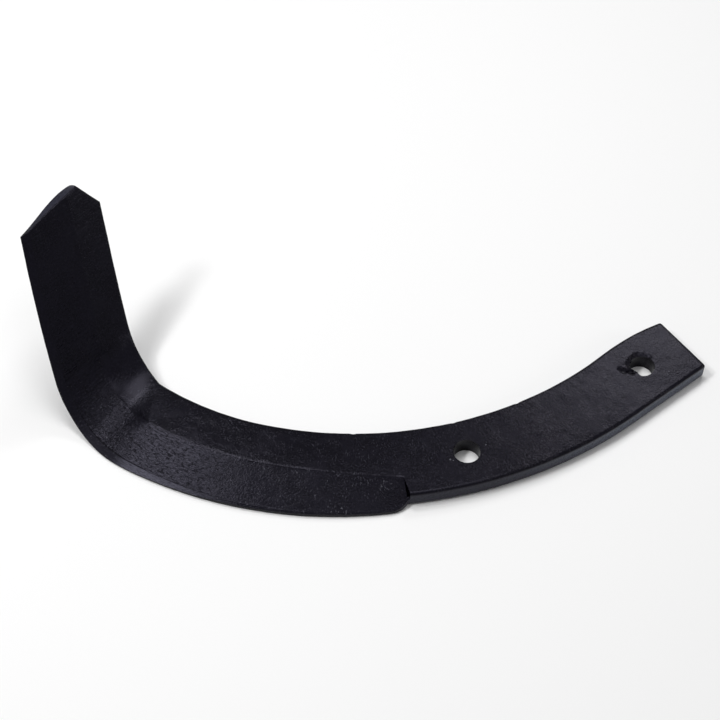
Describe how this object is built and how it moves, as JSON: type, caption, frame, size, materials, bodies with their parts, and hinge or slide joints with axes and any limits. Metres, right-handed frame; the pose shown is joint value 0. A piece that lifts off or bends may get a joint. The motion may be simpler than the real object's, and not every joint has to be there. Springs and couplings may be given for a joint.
{
  "type": "rotary tiller blade",
  "caption": "Curved flat steel tiller blade with a bevelled cutting edge, a folded-up pointed wing and a shank drilled for two bolts.",
  "frame": {"origin": "midway between the two bolt holes, on the back face of the shank", "axes": "+X along the line of the bolt holes towards the shank's end, +Z out of the top face, the side that the wing folds up to"},
  "size_m": [0.2742, 0.1963, 0.0854],
  "materials": {
    "blade_paint": "thin satin black paint over rough forged steel"
  },
  "bodies": {
    "root": {"blade": "blade_paint"}
  },
  "joints": []
}
